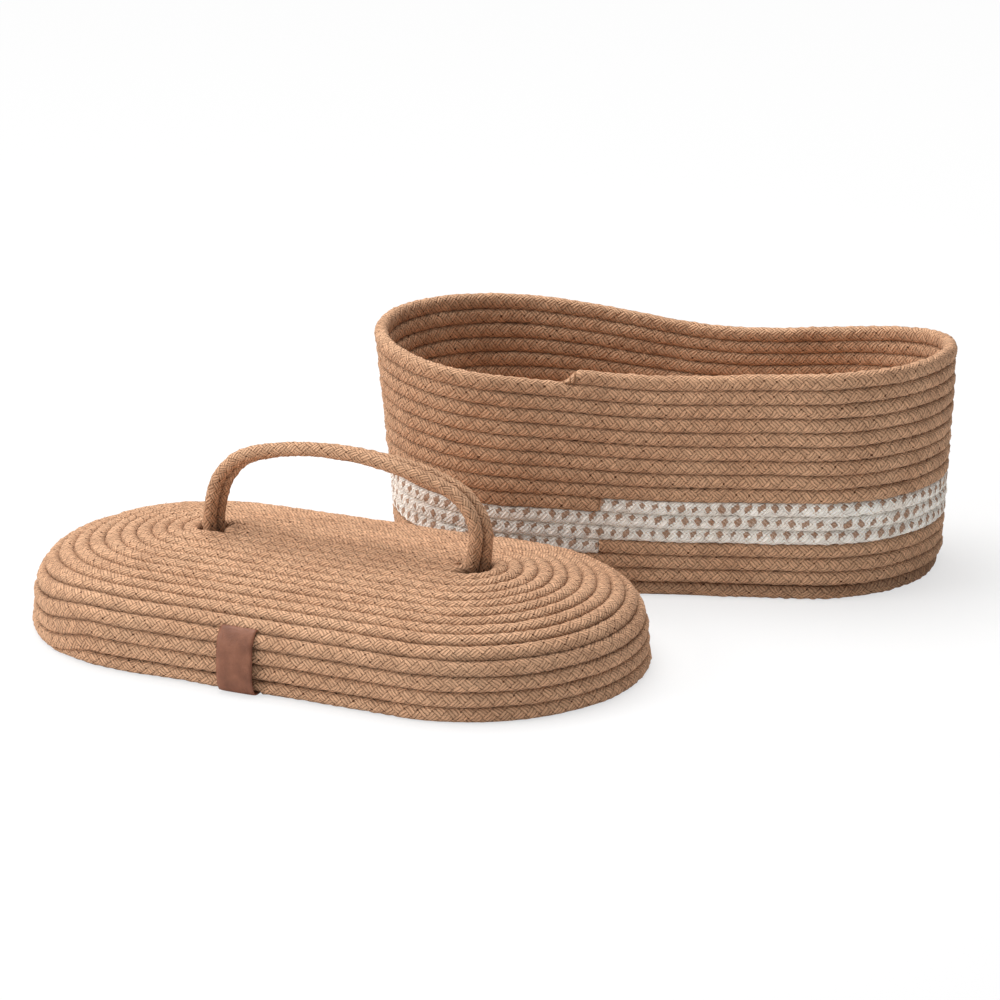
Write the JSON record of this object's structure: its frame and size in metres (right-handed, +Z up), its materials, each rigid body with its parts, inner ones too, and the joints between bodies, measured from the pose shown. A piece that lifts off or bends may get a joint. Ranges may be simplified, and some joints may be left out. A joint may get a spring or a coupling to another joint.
{
  "type": "oval storage basket",
  "caption": "Oval storage basket coiled from a sewn cotton cord with a pale stripe low on its wall, and a domed lid with a cord handle and a leather tag, lying beside it",
  "frame": {"origin": "on the floor under the middle of the basket's coiled base, where its first straight run of cord lies", "axes": "+X along the basket's long axis to the viewer's right, +Y away from the viewer to the basket's back, +Z up out of the basket"},
  "size_m": [0.5568, 0.4054, 0.1476],
  "materials": {
    "tan_cord": "matte braided cotton",
    "white_cord": "matte braided cotton",
    "tag_leather": "smooth, slightly waxed"
  },
  "bodies": {
    "basket": {"base_rope": "tan_cord", "band_rope": "white_cord", "wall_rope": "tan_cord"},
    "lid": {"lid_rope": "tan_cord", "leather_tag": "tag_leather"},
    "handle": {"handle_rope_front": "tan_cord", "handle_rope_rear": "tan_cord"}
  },
  "joints": [
    {"name": "lid_lift", "type": "slide", "parent": "basket", "child": "lid", "axis": [0, 0, 1], "range_m": [0, 0.25]},
    {"name": "handle_tilt", "type": "hinge", "parent": "lid", "child": "handle", "pos_m": [-0.1879, -0.1725, 0.0549], "axis": [0.9455, -0.3256, 0], "range_deg": [-15, 15], "stiffness_Nm_per_rad": 0.06}
  ]
}
